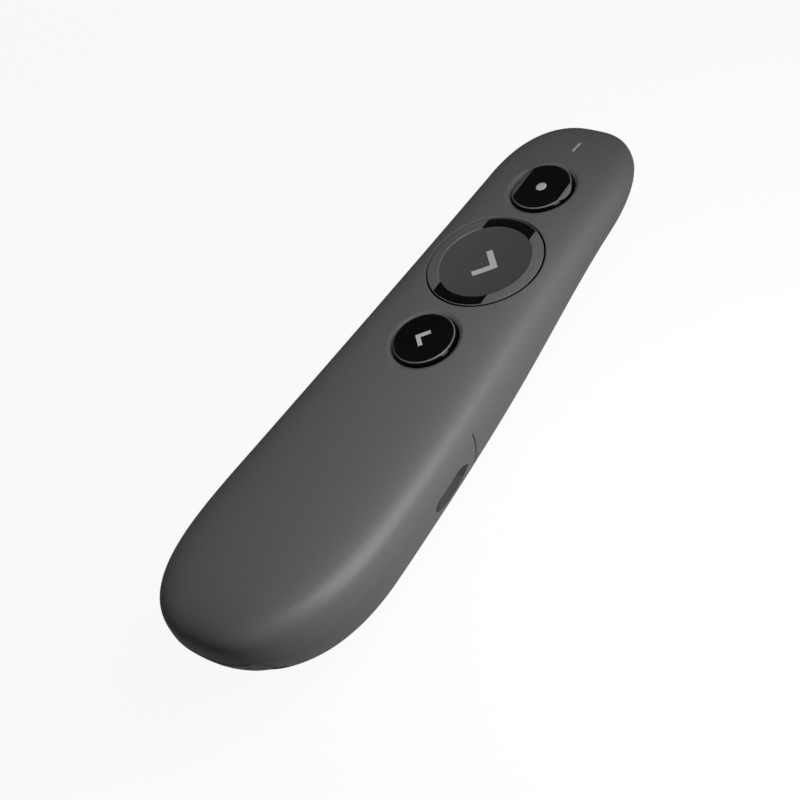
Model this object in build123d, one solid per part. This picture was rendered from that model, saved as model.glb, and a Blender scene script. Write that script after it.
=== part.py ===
from build123d import *
import math
import os

# Wireless presentation clicker: a hand-held remote with three buttons on its crown, two cells in
# its belly and a radio receiver that docks in its tail.
#
# Frame: millimetres, X across, Y along (nose towards +Y), Z up (buttons up). The origin is under
# the middle of the body, on the flat land that the belly rests on.

# ---- housing form ---------------------------------------------------------------------------
HALF_LENGTH = 68.5
END_LAND = 0.05         # each tip is cut off by a small flat this far in
TAIL_HALF_WIDTH = 19.6
NOSE_HALF_WIDTH = 15.28
TAIL_ROUND = 32.2       # length over which the tail closes in plan
NOSE_ROUND = 20.3       # length over which the nose closes in plan
TAIL_POWERS = (2.49, 3.56)  # superellipse powers of the closing tail, in plan and of the crown
NOSE_POWERS = (2.4, 4.3)    # in side view, and those of the nose
BELLY_POWER = 2.0       # the belly's power in side view, with
BELLY_FULLNESS = 1.39   # this second one on its depth

SEAM_Z = 21.0           # parting plane above the rest face
SEAM_BEND_Y = -34.3     # behind this the parting line curves up towards the tail
SEAM_BEND_RADIUS = 271.0
SEAM_GAP = 0.2          # reveal under the top housing

CROWN_LINE = (5.31, -0.69, 1.81, -3.585)  # crown height: a cubic in the share of the half length
BELLY_DEPTH_NOSE = 10.64
BELLY_DEPTH_TAIL = 21.37
SWELL_Y = 30.0          # where the thin nose swells into the deep belly
SWELL_LENGTH = 11.73

# Control points of the cross-sections, from the rim to the middle, as shares of the half width
# and of the height: a boxy crown and a keel-like belly. The other half mirrors them.
CROWN_POLES = ((1, 0), (1, 1.466), (0.7, 0.836))
BELLY_POLES = ((1, 0), (1, 0.272), (0.566, 1.482))

# The lofts are ruled between cross-sections drawn as chords, which keeps the facets few. The inner
# surfaces need fewer of both.
SKIN_SECTIONS = 24
SKIN_CHORDS = 20
CORE_SECTIONS = 14
CORE_CHORDS = 10
WALL = 1.8
CUT_OVERLAP = 4.0       # how far an inner form runs past the parting line, to cut clean through it

# ---- buttons --------------------------------------------------------------------------------
LASER_Y = 47.6
NEXT_Y = 26.2
BACK_Y = 4.6
SMALL_WELL_RADIUS = 6.7
SMALL_CAP_RADIUS = 6.5
SMALL_DISH_RADIUS = 7.7
SMALL_DISH_DEPTH = 0.5
SMALL_CAP_RISE = 0.5
LED_SLOT_Y = 61.0
LED_SLOT_LENGTH = 3.2
LED_SLOT_WIDTH = 0.6
NEXT_WELL_RADIUS = 12.15
NEXT_CAP_RADIUS = 11.8
NEXT_DISH_RADIUS = 9.5
NEXT_DISH_DEPTH = 1.1
NEXT_DISH_SPHERE = 56.0
ACCENT_HALF_WIDTH = 5.7
ACCENT_DEPTH = 0.6
FLANGE = 1.0            # how far a flange reaches under the wall, and about how thick it is
SYMBOL_DEPTH = 0.3
STEM_RADIUS = 1.3
FACET_X = 4.3           # where the pointer cap's two side facets start
FACET_TILT = 28
LASER_DOT_RADIUS = 1.12
NEXT_CHEVRON_TIP = 2.9
NEXT_CHEVRON_ARM = 3.7
NEXT_CHEVRON_THICKNESS = 1.3
BACK_CHEVRON_ARM = 2.16
BACK_CHEVRON_THICKNESS = 0.88

# ---- battery door ---------------------------------------------------------------------------
DOOR_FRONT_Y = -8.7
DOOR_SLIT = 0.3
DOOR_WALL = 1.9
SCOOP_Y = -17.1
SCOOP_HALF_LENGTH = 6.2
SCOOP_TOP = -3.45       # from the seam down
SCOOP_BOTTOM = -12.0
SCOOP_FACE_X = 17.1     # its deepest point, where it starts
SCOOP_RADIUS = 22.0
SCOOP_LEAN = 5.0
SCOOP_FRONT_ROUND = 4.8
SCOOP_REAR_ROUND = 1.5
SCOOP_RIB_PITCH = 1.3
SCOOP_RIB_RISE = 0.15

# ---- cells and receiver ---------------------------------------------------------------------
CELL_RADIUS = 5.25
CELL_LENGTH = 44.5
CELL_X = 5.35
CELL_Z = -8.85          # below the seam
CELL_FRONT_Y = -5.1
CELL_CLEARANCE = 0.15
CONTACT_HALF = 3.0      # half the side of a contact's square plate
PLUG_WIDTH = 12.0
PLUG_HEIGHT = 4.5
PLUG_LENGTH = 12.0
PLUG_WALL = 0.3
PLUG_Z = -0.9
GRIP_HALF_WIDTH = 9.9
GRIP_FRONT_Y = -62.0
GRIP_BOTTOM = -4.0
GRIP_CLEARANCE = 0.3
RELIEF_REAR = (9.5, -63.7)   # plan line along which the door falls back beside the grip
RELIEF_FRONT = (13.2, -61.6)
DOCK_CLEARANCE = 0.15

# ---- inside ---------------------------------------------------------------------------------
BOARD_TOP = -0.9
BOARD_THICKNESS = 1.0
CEILING_TOP = -2.6      # plate over the cells
CEILING_THICKNESS = 1.0
BULKHEAD_Y = -2.9       # front face of the wall ahead of the cells
TRAY_CLEARANCE = 0.3
RIB_PLACES = (18, 36)   # stiffening ribs across the nose shell, arched over the beam's axis
RIB_THICKNESS = 1.2
RIB_ARCH_RADIUS = 6.5
SCREW_PLACES = ((13.5, -13.0), (-13.5, -13.0), (11.5, -50.5), (-11.5, -50.5))
BOSS_RADIUS = 2.3
SCREW_RADIUS = 1.1
LASER_Z = -3.9
LASER_RADIUS = 1.9
WINDOW_RADIUS = 1.4
WINDOW_Y = 62.6
SLIDER_Y = 8.0
SLIDER_Z = -3.4
SLIDER_TRAVEL = 2.5


# ---- housing form as formulas ----------------------------------------------------------------
def seam_z(y):
    """Height of the parting line."""
    run = min(0.0, y - SEAM_BEND_Y)
    return SEAM_Z + SEAM_BEND_RADIUS - math.sqrt(SEAM_BEND_RADIUS**2 - run**2)


def form(y, inset):
    """Half width, crown height and belly depth of the housing at a station, inset by a wall."""
    tail_y = TAIL_ROUND - HALF_LENGTH
    nose_y = HALF_LENGTH - NOSE_ROUND
    share = min(1.0, max(0.0, (y - tail_y) / (nose_y - tail_y)))
    blend = 0.5 * share + 0.5 * share**2 * (3 - 2 * share)
    width = TAIL_HALF_WIDTH + (NOSE_HALF_WIDTH - TAIL_HALF_WIDTH) * blend - inset
    closing = max(0.0, (tail_y - y) / (TAIL_ROUND - inset), (y - nose_y) / (NOSE_ROUND - inset))
    plan_power, crown_power = NOSE_POWERS if y > 0 else TAIL_POWERS

    s = y / HALF_LENGTH
    rise = seam_z(y) - SEAM_Z
    crown = sum(c * s**k for k, c in enumerate(CROWN_LINE)) - rise - inset
    swell = (BELLY_DEPTH_TAIL - BELLY_DEPTH_NOSE) / (1 + math.exp((y - SWELL_Y) / SWELL_LENGTH))
    belly = BELLY_DEPTH_NOSE + swell + rise - inset
    return (
        width * (1 - closing**plan_power) ** (1 / plan_power),
        crown * (1 - closing**crown_power) ** (1 / crown_power),
        belly * (1 - closing**BELLY_POWER) ** (1 / BELLY_FULLNESS),
    )


def crown_z(x, y):
    """Height of the outer crown surface at a point, by stepping along its section curve."""
    width, crown, _ = form(y, 0)
    poles = list(CROWN_POLES) + [(-px, pz) for px, pz in reversed(CROWN_POLES)]
    low, high = 0.0, 0.5
    for _ in range(40):
        t = (low + high) / 2
        weights = [math.comb(5, k) * t**k * (1 - t) ** (5 - k) for k in range(6)]
        if sum(w * p[0] for w, p in zip(weights, poles)) * width > abs(x):
            low = t
        else:
            high = t
    return seam_z(y) + crown * sum(w * p[1] for w, p in zip(weights, poles))


def section_points(poles, y, up, inset, chords):
    """Points along the housing's cross-section above (up = 1) or below (up = -1) the parting line."""
    width, crown, belly = form(y, inset)
    height = crown if up > 0 else belly
    both_sides = list(poles) + [(-px, pz) for px, pz in reversed(poles)]
    points = []
    for k in range(chords + 1):
        t = k / chords
        weights = [math.comb(5, i) * t**i * (1 - t) ** (5 - i) for i in range(6)]
        px = sum(w * pole[0] for w, pole in zip(weights, both_sides))
        pz = sum(w * pole[1] for w, pole in zip(weights, both_sides))
        points.append((px * width, y, seam_z(y) + up * pz * height))
    return points


def half_form(poles, up, inset=0.0, overlap=0.0):
    """Solid half of the housing form, run past the parting line by the overlap."""
    sections, chords = (CORE_SECTIONS, CORE_CHORDS) if inset > 0 else (SKIN_SECTIONS, SKIN_CHORDS)
    reach = HALF_LENGTH - inset - END_LAND
    wires = []
    for k in range(sections + 1):
        y = -reach * math.cos(math.pi * k / sections)
        points = section_points(poles, y, up, inset, chords)
        if overlap:
            rim = seam_z(y) - up * overlap
            points += [(points[-1][0], y, rim), (points[0][0], y, rim)]
        wires.append(Wire.make_polygon(points, close=True))
    return Solid.make_loft(wires, ruled=True)


def crown_form(inset=0.0, overlap=0.0):
    return half_form(CROWN_POLES, 1, inset, overlap)


def belly_form(inset=0.0, overlap=0.0):
    return half_form(BELLY_POLES, -1, inset, overlap)


def belly_prism(inset, station, y0, y1):
    """The belly's cross-section at one station, extruded along Y."""
    points = section_points(BELLY_POLES, station, -1, inset, SKIN_CHORDS)
    face = Face(Wire.make_polygon([(x, y0, z) for x, _, z in points], close=True))
    return extrude(face, y1 - y0, dir=(0, 1, 0))


# ---- small helpers ----------------------------------------------------------------------------
def block(x0, x1, y0, y1, z0, z1):
    """Box between two corners, with z measured from the parting plane."""
    centre = ((x0 + x1) / 2, (y0 + y1) / 2, SEAM_Z + (z0 + z1) / 2)
    return Pos(*centre) * Box(x1 - x0, y1 - y0, z1 - z0)


def post(x, y, radius, z0, z1):
    """Upright cylinder, with z measured from the parting plane."""
    return Pos(x, y, SEAM_Z + (z0 + z1) / 2) * Cylinder(radius, z1 - z0)


def rod(x, z, radius, y0, y1):
    """Cylinder along Y, with z measured from the parting plane."""
    place = Pos(x, (y0 + y1) / 2, SEAM_Z + z) * Rot(90, 0, 0)
    return place * Cylinder(radius, y1 - y0)


def below_seam(gap):
    """Everything lower than the parting line less a gap, as one big cutter."""
    far = 80.0
    drop = -60.0
    edges = [
        (-far, seam_z(-far) - gap),
        (SEAM_BEND_Y, SEAM_Z - gap),
        (far, SEAM_Z - gap),
        (far, drop),
        (-far, drop),
    ]
    arc = RadiusArc(edges[1], edges[0], SEAM_BEND_RADIUS)
    outline = arc + Polyline(*edges[1:], edges[0])
    return extrude(Plane.YZ * make_face(outline), 40, both=True)


def chevron(corner_x, corner_y, arm, thickness, direction):
    """Right-angled chevron in plan, with its corner pointing along X."""
    back = thickness * math.sqrt(2)
    end = thickness / math.sqrt(2)
    upper = [(0, 0), (-arm, arm), (-arm - end, arm - end), (-back, 0)]
    lower = [(x, -y) for x, y in reversed(upper[1:3])]
    points = [(corner_x + direction * x, corner_y + y) for x, y in upper + lower]
    return make_face(Polyline(*points, points[0]))


REST_TRIM = Pos(0, 0, -20) * Box(200, 200, 40)


# ---- top housing --------------------------------------------------------------------------------
def small_dish(y):
    """Shallow chamfered dish round a small button's well."""
    top = crown_z(0, y)
    slope = (SMALL_DISH_RADIUS - SMALL_WELL_RADIUS) / SMALL_DISH_DEPTH
    height = 4 * SMALL_DISH_DEPTH
    cone = Cone(SMALL_WELL_RADIUS, SMALL_WELL_RADIUS + slope * height, height)
    return Pos(0, y, top - SMALL_DISH_DEPTH + height / 2) * cone


def top_housing():
    shell = crown_form() - crown_form(WALL, overlap=CUT_OVERLAP)
    for x, y in SCREW_PLACES:
        boss = post(x, y, BOSS_RADIUS, CEILING_TOP, 9) & crown_form(WALL / 2, overlap=6)
        shell = shell + boss - post(x, y, SCREW_RADIUS, CEILING_TOP - 1, 3)
    shell -= post(0, NEXT_Y, NEXT_WELL_RADIUS, 0, 12)
    for y in (LASER_Y, BACK_Y):
        shell -= post(0, y, SMALL_WELL_RADIUS, 0, 12)
        shell -= small_dish(y)
    shell -= led_slot(0)
    return shell


def led_slot(clearance):
    """Status slot along the centre line near the nose, as a prism."""
    slot = SlotOverall(LED_SLOT_LENGTH - 2 * clearance, LED_SLOT_WIDTH - 2 * clearance, rotation=90)
    outline = Pos(0, LED_SLOT_Y) * slot
    return Pos(0, 0, SEAM_Z) * extrude(outline, 12)


# ---- lower housing ------------------------------------------------------------------------------
def lower_housing():
    """Nose shell of the belly, closed off from the cells by a bulkhead."""
    front_y = DOOR_FRONT_Y + DOOR_SLIT
    shell = belly_form() - belly_form(WALL, overlap=CUT_OVERLAP)
    body = shell & block(-40, 40, front_y, 80, -40, 20)
    body += belly_form(WALL / 2) & block(-40, 40, front_y, BULKHEAD_Y, -40, CEILING_TOP)
    body = (body & below_seam(SEAM_GAP)) - bay_cut() - REST_TRIM
    for y in RIB_PLACES:
        slab = block(-40, 40, y - RIB_THICKNESS / 2, y + RIB_THICKNESS / 2, -30, BOARD_TOP - BOARD_THICKNESS)
        body += (belly_form(WALL / 2) & slab) - rod(0, LASER_Z, RIB_ARCH_RADIUS, y - 2, y + 2)
    body -= rod(0, LASER_Z, WINDOW_RADIUS - 0.3, 55, 70)
    body -= rod(0, LASER_Z, WINDOW_RADIUS, WINDOW_Y, 70)
    return body - slider_window()


# ---- battery tray -------------------------------------------------------------------------------
def battery_tray():
    """Ceiling over the cells with its side skirts, cross ribs, tail wall and the receiver's sleeve."""
    room = belly_form(DOOR_WALL + TRAY_CLEARANCE, overlap=CUT_OVERLAP)
    tray = block(-40, 40, -59, DOOR_FRONT_Y + DOOR_SLIT, CEILING_TOP - CEILING_THICKNESS, CEILING_TOP)
    for side in (-1, 1):
        tray += block(side * 11.7 - 0.6, side * 11.7 + 0.6, -47, -17.5, -10, CEILING_TOP)
    tray += block(-11, 11, -55.4, -54.2, -12, CEILING_TOP)
    for y in (-20, -40):
        tray += block(-11.5, 11.5, y - 0.6, y + 0.6, -8, CEILING_TOP)
    tray = (tray & room) - bay_cut() + dock_sleeve() - plug_pocket()
    for x, y in SCREW_PLACES:
        tray -= post(x, y, SCREW_RADIUS, -20, 2)
    return tray


def bay_cut():
    """Room for the two cells and their contacts, open towards the door."""
    radius = CELL_RADIUS + CELL_CLEARANCE
    rear_y = CELL_FRONT_Y - CELL_LENGTH - 3.2
    mouth_y = DOOR_FRONT_Y + DOOR_SLIT - 0.1
    room = block(-CELL_X - radius, CELL_X + radius, rear_y, mouth_y, -40, CELL_Z)
    for x in (-CELL_X, CELL_X):
        room += rod(x, CELL_Z, radius, rear_y, CELL_FRONT_Y + 0.8)
    return room


def dock_sleeve():
    half = PLUG_WIDTH / 2 + 1.2
    end_y = GRIP_FRONT_Y + PLUG_LENGTH + 1.2
    return block(-half, half, GRIP_FRONT_Y + 0.1, end_y, PLUG_Z - 3.3, PLUG_Z + 3.3) - bay_cut()


def plug_pocket():
    half = PLUG_WIDTH / 2 + DOCK_CLEARANCE
    high = PLUG_HEIGHT / 2 + DOCK_CLEARANCE
    end_y = GRIP_FRONT_Y + PLUG_LENGTH + 0.2
    return block(-half, half, GRIP_FRONT_Y - 1, end_y, PLUG_Z - high, PLUG_Z + high)


def slider_window():
    return block(-30, -12, SLIDER_Y - 3.9, SLIDER_Y + 4.1, SLIDER_Z - 1.6, SLIDER_Z + 1.6)


# ---- battery door -------------------------------------------------------------------------------
def battery_door():
    behind = block(-40, 40, -80, DOOR_FRONT_Y, -40, 20)
    door = (belly_form() - belly_form(DOOR_WALL, overlap=CUT_OVERLAP)) & behind & below_seam(SEAM_GAP)
    door -= grip_space(GRIP_CLEARANCE)
    door -= REST_TRIM
    for side in (-1, 1):
        door -= scoop(side)
        door -= grip_relief(side)
    return door


def scoop(side):
    """Finger recess: a leaning cylinder, deepest at its upper edge and finely ribbed, in a rounded outline."""
    height = 2 * (SCOOP_TOP - SCOOP_BOTTOM)
    bite = Cylinder(SCOOP_RADIUS, height)
    for k in range(-4, 5):
        offset = k * SCOOP_RIB_PITCH
        face_x = -math.sqrt(SCOOP_RADIUS**2 - offset**2)
        bite -= Pos(face_x + SCOOP_RIB_RISE - 1, offset, 0) * Box(2, SCOOP_RIB_PITCH / 3, height)
    lean = Pos(SCOOP_FACE_X, SCOOP_Y, SEAM_Z + SCOOP_TOP) * Rot(0, SCOOP_LEAN, 0)
    bite = lean * Pos(SCOOP_RADIUS, 0, 0) * bite

    rear, front = SCOOP_Y - SCOOP_HALF_LENGTH, SCOOP_Y + SCOOP_HALF_LENGTH
    top, bottom = SEAM_Z + SCOOP_TOP, SEAM_Z + SCOOP_BOTTOM
    frame = make_face(Polyline((rear, bottom), (front, bottom), (front, top), (rear, top), (rear, bottom)))
    upper = frame.vertices().filter_by(lambda v: v.Y > bottom + 1).sort_by(Axis.X)
    frame = fillet(upper[:1], SCOOP_REAR_ROUND)
    upper = frame.vertices().filter_by(lambda v: v.Y > top - 0.01).sort_by(Axis.X)
    frame = fillet(upper[-1:], SCOOP_FRONT_ROUND)
    cutter = extrude(Plane.YZ * frame, 30) & bite
    return cutter if side > 0 else mirror(cutter, Plane.YZ)


# ---- receiver -----------------------------------------------------------------------------------
def grip_space(clearance):
    half = GRIP_HALF_WIDTH + clearance
    front = GRIP_FRONT_Y + clearance
    return block(-half, half, -80, front, GRIP_BOTTOM - clearance, 8)


def grip_relief(side):
    """Facet beside the receiver's grip that lets two fingers take hold of it."""
    corners = [RELIEF_REAR, RELIEF_FRONT, (RELIEF_FRONT[0], -80), (RELIEF_REAR[0], -80)]
    points = [(side * x, y) for x, y in corners]
    bottom = SEAM_Z + GRIP_BOTTOM - GRIP_CLEARANCE
    return Pos(0, 0, bottom) * extrude(make_face(Polyline(*points, points[0])), 12, dir=(0, 0, 1))


def receiver_body():
    return belly_form() & grip_space(0) & below_seam(SEAM_GAP)


def receiver_plug():
    y1 = GRIP_FRONT_Y + PLUG_LENGTH
    half = PLUG_WIDTH / 2
    high = PLUG_HEIGHT / 2
    shell = block(-half, half, GRIP_FRONT_Y, y1, PLUG_Z - high, PLUG_Z + high)
    inner = half - PLUG_WALL
    low = high - PLUG_WALL
    shell -= block(-inner, inner, GRIP_FRONT_Y, y1, PLUG_Z - low, PLUG_Z + low)
    for x in (-2.6, 2.6):
        shell -= block(x - 1.1, x + 1.1, y1 - 7, y1 - 4.8, PLUG_Z - 4, PLUG_Z + 4)
    return shell


def receiver_tongue():
    half = PLUG_WIDTH / 2 - PLUG_WALL
    low = PLUG_HEIGHT / 2 - PLUG_WALL
    return block(-half, half, GRIP_FRONT_Y, GRIP_FRONT_Y + PLUG_LENGTH - 0.4, PLUG_Z - low, PLUG_Z)


# ---- buttons ------------------------------------------------------------------------------------
def small_cap(y):
    """Round cap with a retaining flange under the wall and a stem to its switch."""
    top = crown_z(0, y) + SMALL_CAP_RISE
    reach = SMALL_CAP_RADIUS + FLANGE
    rim = [(reach, y), (0, y - reach), (0, y + reach)]
    flange_top = min(crown_z(*point) for point in rim) - WALL - 0.45
    profile = [
        (0, top - 0.15),
        (SMALL_CAP_RADIUS - 0.6, top),
        (SMALL_CAP_RADIUS, top - 0.35),
        (SMALL_CAP_RADIUS, flange_top),
        (SMALL_CAP_RADIUS + FLANGE, flange_top),
        (SMALL_CAP_RADIUS + FLANGE, flange_top - 0.8),
        (SMALL_CAP_RADIUS - 1, flange_top - 0.8),
        (SMALL_CAP_RADIUS - 1, top - 1.6),
        (STEM_RADIUS, top - 1.6),
        (STEM_RADIUS, SEAM_Z + 1.7),
        (0, SEAM_Z + 1.7),
    ]
    face = make_face(Polyline(*profile, profile[0]))
    return Pos(0, y, 0) * revolve(Plane.XZ * face, Axis.Z)


def laser_parts():
    cap = small_cap(LASER_Y)
    top = crown_z(0, LASER_Y) + SMALL_CAP_RISE
    for side in (-1, 1):
        edge = Pos(side * FACET_X, LASER_Y, top) * Rot(0, side * FACET_TILT, 0)
        cap -= edge * Pos(side * 5, 0, 2.5) * Box(10, 20, 5)
    mark = post(0, LASER_Y, LASER_DOT_RADIUS, top - SYMBOL_DEPTH - SEAM_Z, 12)
    return cap - mark, cap & mark


def back_parts():
    cap = small_cap(BACK_Y)
    top = crown_z(0, BACK_Y) + SMALL_CAP_RISE
    outline = chevron(-BACK_CHEVRON_ARM, BACK_Y, BACK_CHEVRON_ARM, BACK_CHEVRON_THICKNESS, -1)
    mark = Pos(0, 0, top - SYMBOL_DEPTH) * extrude(outline, 4)
    return cap - mark, cap & mark


def next_dish(floor):
    """Shallow spherical bowl of the forward button, turned from a few chords."""
    radii = [NEXT_DISH_RADIUS * share for share in (0, 0.35, 0.7, 1)]
    profile = [(r, floor + r**2 / (2 * NEXT_DISH_SPHERE)) for r in radii]
    profile += [(NEXT_DISH_RADIUS, floor + 4), (0, floor + 4)]
    bowl = make_face(Polyline(*profile, profile[0]))
    return Pos(0, NEXT_Y, 0) * revolve(Plane.XZ * bowl, Axis.Z)


def next_parts():
    top = crown_z(0, NEXT_Y)
    floor = top - NEXT_DISH_DEPTH
    skirt_z = 1.5
    cap = crown_form() & post(0, NEXT_Y, NEXT_CAP_RADIUS, skirt_z, 12)
    cap += post(0, NEXT_Y, NEXT_CAP_RADIUS + FLANGE, skirt_z - 0.8, skirt_z)
    cap -= post(0, NEXT_Y, NEXT_CAP_RADIUS - 1.3, 0, floor - SEAM_Z - 1.5)
    cap -= next_dish(floor)
    cap += post(0, NEXT_Y, STEM_RADIUS, 1.7, floor - SEAM_Z - 1.0)
    ring = post(0, NEXT_Y, NEXT_CAP_RADIUS + 1, 0, 12) - post(0, NEXT_Y, NEXT_DISH_RADIUS, 0, 12)
    strip = block(-ACCENT_HALF_WIDTH, ACCENT_HALF_WIDTH, 0, 50, top - SEAM_Z - ACCENT_DEPTH, 12)
    accents = cap & ring & strip
    outline = chevron(NEXT_CHEVRON_TIP, NEXT_Y, NEXT_CHEVRON_ARM, NEXT_CHEVRON_THICKNESS, 1)
    mark = Pos(0, 0, floor - SYMBOL_DEPTH) * extrude(outline, 4)
    symbol = cap & mark
    return cap - (ring & strip) - mark, accents, symbol


# ---- electronics --------------------------------------------------------------------------------
def circuit_board():
    bottom = BOARD_TOP - BOARD_THICKNESS
    outline = [(13.0, -47), (13.0, -5), (11.5, 30), (9.5, 50), (6.0, 61.5)]
    outline += [(-x, y) for x, y in reversed(outline)]
    face = fillet(make_face(Polyline(*outline, outline[0])).vertices(), 1.5)
    board = Pos(0, 0, SEAM_Z + bottom) * extrude(face, BOARD_THICKNESS)
    for x, y in SCREW_PLACES:
        board -= post(x, y, BOSS_RADIUS + 0.3, bottom - 1, BOARD_TOP + 1)
    return board


def tact_switch(y):
    body = block(-2.3, 2.3, y - 2.3, y + 2.3, BOARD_TOP, 1.1)
    return body - post(0, y, STEM_RADIUS + 0.2, -0.5, 2)


def tact_plunger(y):
    return post(0, y, STEM_RADIUS, 0.4, 1.7)


def laser_module():
    return rod(0, LASER_Z, LASER_RADIUS, 47, 57) + rod(0, LASER_Z, LASER_RADIUS - 0.6, 57, 59.5)


def power_slider():
    """Ribbed thumb slide: a knob through the window on a plate behind the wall, both drawn along Y."""
    rear_y = SLIDER_Y - 5.4
    front_y = SLIDER_Y + 3.2
    narrowest = front_y + SLIDER_TRAVEL + 1
    plate = belly_prism(WALL + 0.4, narrowest, rear_y, front_y)
    plate -= belly_prism(WALL + 1.3, narrowest, rear_y, front_y)
    plate &= block(-30, -10, rear_y, front_y, SLIDER_Z - 2.4, SLIDER_Z + 2.4)

    y0 = SLIDER_Y - 3.4
    y1 = SLIDER_Y + 1.2
    core = belly_prism(WALL + 1.0, narrowest, y0, y1)
    reach = block(-30, -10, y0, y1, SLIDER_Z - 1.4, SLIDER_Z + 1.4)
    knob = (belly_prism(-0.1, SLIDER_Y, y0, y1) - core) & reach
    ribs = belly_prism(-0.45, SLIDER_Y, y0, y1) - core
    for k in range(5):
        y = y0 + 0.5 + 0.9 * k
        knob += ribs & block(-30, -10, y - 0.2, y + 0.2, SLIDER_Z - 1.4, SLIDER_Z + 1.4)
    return knob + plate


def power_switch():
    bottom = BOARD_TOP - BOARD_THICKNESS
    return block(-12.2, -8.8, SLIDER_Y - 4.4, SLIDER_Y + 4.4, bottom - 3, bottom)


def cell(x, forward):
    """Cylindrical cell with its button at the front or at the rear."""
    rear_y = CELL_FRONT_Y - CELL_LENGTH
    if forward:
        can = rod(x, CELL_Z, CELL_RADIUS, rear_y, CELL_FRONT_Y - 1)
        return can + rod(x, CELL_Z, 1.9, CELL_FRONT_Y - 1, CELL_FRONT_Y)
    can = rod(x, CELL_Z, CELL_RADIUS, rear_y + 1, CELL_FRONT_Y)
    return can + rod(x, CELL_Z, 1.9, rear_y, rear_y + 1)


def contact_plate(x, y):
    low, high = CELL_Z - CONTACT_HALF, CELL_Z + CONTACT_HALF
    return block(x - CONTACT_HALF, x + CONTACT_HALF, y, y + 0.3, low, high)


def front_contacts():
    """Flat plates ahead of the cells, each with a raised button."""
    plates = []
    for x in (-CELL_X, CELL_X):
        plate = contact_plate(x, CELL_FRONT_Y + 0.2)
        plates.append(plate + rod(x, CELL_Z, 1.5, CELL_FRONT_Y, CELL_FRONT_Y + 0.4))
    return Compound(plates)


def rear_contacts():
    """Leaf springs behind the cells: a plate on the wall with a bowed leaf that meets the cell."""
    cell_y = CELL_FRONT_Y - CELL_LENGTH
    wall_y = cell_y - 3.1
    leaf_radius = 3.6
    springs = []
    for x in (-CELL_X, CELL_X):
        plate = contact_plate(x, wall_y)
        ring = Cylinder(leaf_radius, 4) - Cylinder(leaf_radius - 0.3, 4)
        leaf = Pos(x, cell_y - leaf_radius, SEAM_Z + CELL_Z) * ring
        springs.append(plate + (leaf & block(x - 5, x + 5, wall_y + 0.1, cell_y, -20, 0)))
    return Compound(springs)


def housing_screws():
    head_z = CEILING_TOP - CEILING_THICKNESS
    screws = []
    for x, y in SCREW_PLACES:
        screws.append(post(x, y, SCREW_RADIUS, head_z, 2.5) + post(x, y, 1.9, head_z - 1.2, head_z))
    return Compound(screws)


# ---- write every node ---------------------------------------------------------------------------
laser_button, laser_mark = laser_parts()
next_button, next_accents, next_mark = next_parts()
back_button, back_mark = back_parts()

nodes = {
    "top_housing": top_housing(),
    "lower_housing": lower_housing(),
    "battery_tray": battery_tray(),
    "battery_door": battery_door(),
    "laser_button": laser_button,
    "laser_dot": laser_mark,
    "next_button": next_button,
    "next_accents": next_accents,
    "next_chevron": next_mark,
    "back_button": back_button,
    "back_chevron": back_mark,
    "circuit_board": circuit_board(),
    "laser_switch": tact_switch(LASER_Y),
    "next_switch": tact_switch(NEXT_Y),
    "back_switch": tact_switch(BACK_Y),
    "laser_plunger": tact_plunger(LASER_Y),
    "next_plunger": tact_plunger(NEXT_Y),
    "back_plunger": tact_plunger(BACK_Y),
    "radio_chip": block(-3, 3, -22, -16, BOARD_TOP, BOARD_TOP + 0.9),
    "crystal": block(4.5, 7.7, -20, -17.5, BOARD_TOP, BOARD_TOP + 0.8),
    "status_led": block(-0.8, 0.8, 59.6, 61.2, BOARD_TOP, BOARD_TOP + 0.7),
    "light_pipe": led_slot(0.05) & crown_form(0.1),
    "laser_module": laser_module(),
    "laser_window": rod(0, LASER_Z, WINDOW_RADIUS, WINDOW_Y, WINDOW_Y + 0.7),
    "power_slider": power_slider(),
    "power_switch": power_switch(),
    "battery_left": cell(-CELL_X, True),
    "battery_right": cell(CELL_X, False),
    "front_contacts": front_contacts(),
    "rear_contacts": rear_contacts(),
    "receiver_body": receiver_body(),
    "receiver_plug": receiver_plug(),
    "receiver_tongue": receiver_tongue(),
    "housing_screws": housing_screws(),
}

os.makedirs("parts", exist_ok=True)
for name, shape in nodes.items():
    export_step(shape, f"parts/{name}.step")
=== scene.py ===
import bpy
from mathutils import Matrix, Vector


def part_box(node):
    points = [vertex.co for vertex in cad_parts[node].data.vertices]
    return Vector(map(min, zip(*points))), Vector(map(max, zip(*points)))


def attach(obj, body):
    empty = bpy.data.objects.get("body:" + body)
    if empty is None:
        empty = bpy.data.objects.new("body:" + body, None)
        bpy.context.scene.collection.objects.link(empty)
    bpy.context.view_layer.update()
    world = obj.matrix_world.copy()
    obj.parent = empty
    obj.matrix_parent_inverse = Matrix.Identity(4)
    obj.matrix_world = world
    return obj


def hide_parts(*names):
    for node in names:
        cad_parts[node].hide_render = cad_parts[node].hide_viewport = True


bl_info = {
    "name": "Presentation clicker",
    "version": (1, 0, 0),
    "blender": (4, 5, 0),
    "location": "View3D > Sidebar > Clicker",
    "description": "Skins, buttons and finishes of a wireless presentation clicker",
    "category": "Add Mesh",
}

import math

import bmesh
import bpy
import numpy as np
from bpy.props import FloatProperty, FloatVectorProperty, PointerProperty
from mathutils import Matrix, Vector
from mathutils.geometry import delaunay_2d_cdt

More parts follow.
